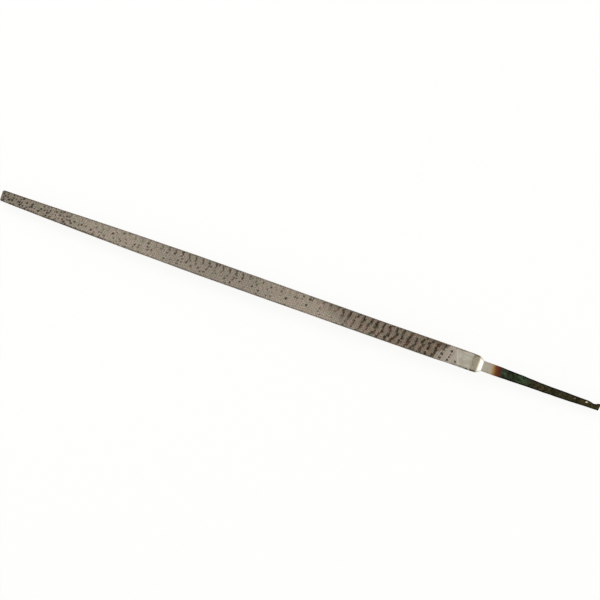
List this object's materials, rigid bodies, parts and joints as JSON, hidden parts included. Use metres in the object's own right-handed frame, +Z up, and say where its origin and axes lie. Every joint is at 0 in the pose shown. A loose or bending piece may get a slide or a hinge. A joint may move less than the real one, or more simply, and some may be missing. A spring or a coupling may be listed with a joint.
{
  "type": "square file",
  "caption": "Square-section hand file: tapered, toothed blade with a bare heel, sloped shoulder and tapering square tang for a handle.",
  "frame": {"origin": "below the middle of the whole file's length, on the surface that the lower face's teeth rest on", "axes": "+X along the file from the point to the tang, +Y across it, +Z up out of the face that is seen"},
  "size_m": [0.311, 0.0092, 0.0091],
  "materials": {
    "blade_steel": "hardened file steel, dull grey-brown over the teeth with dark gullets, paler and bare at the heel, bright ground shoulder",
    "tang_steel": "pale ground neck, then straw, red-brown and blue-green temper colours, then black forging scale to the sheared end"
  },
  "bodies": {
    "root": {"blade": "blade_steel", "tang": "tang_steel"}
  },
  "joints": []
}
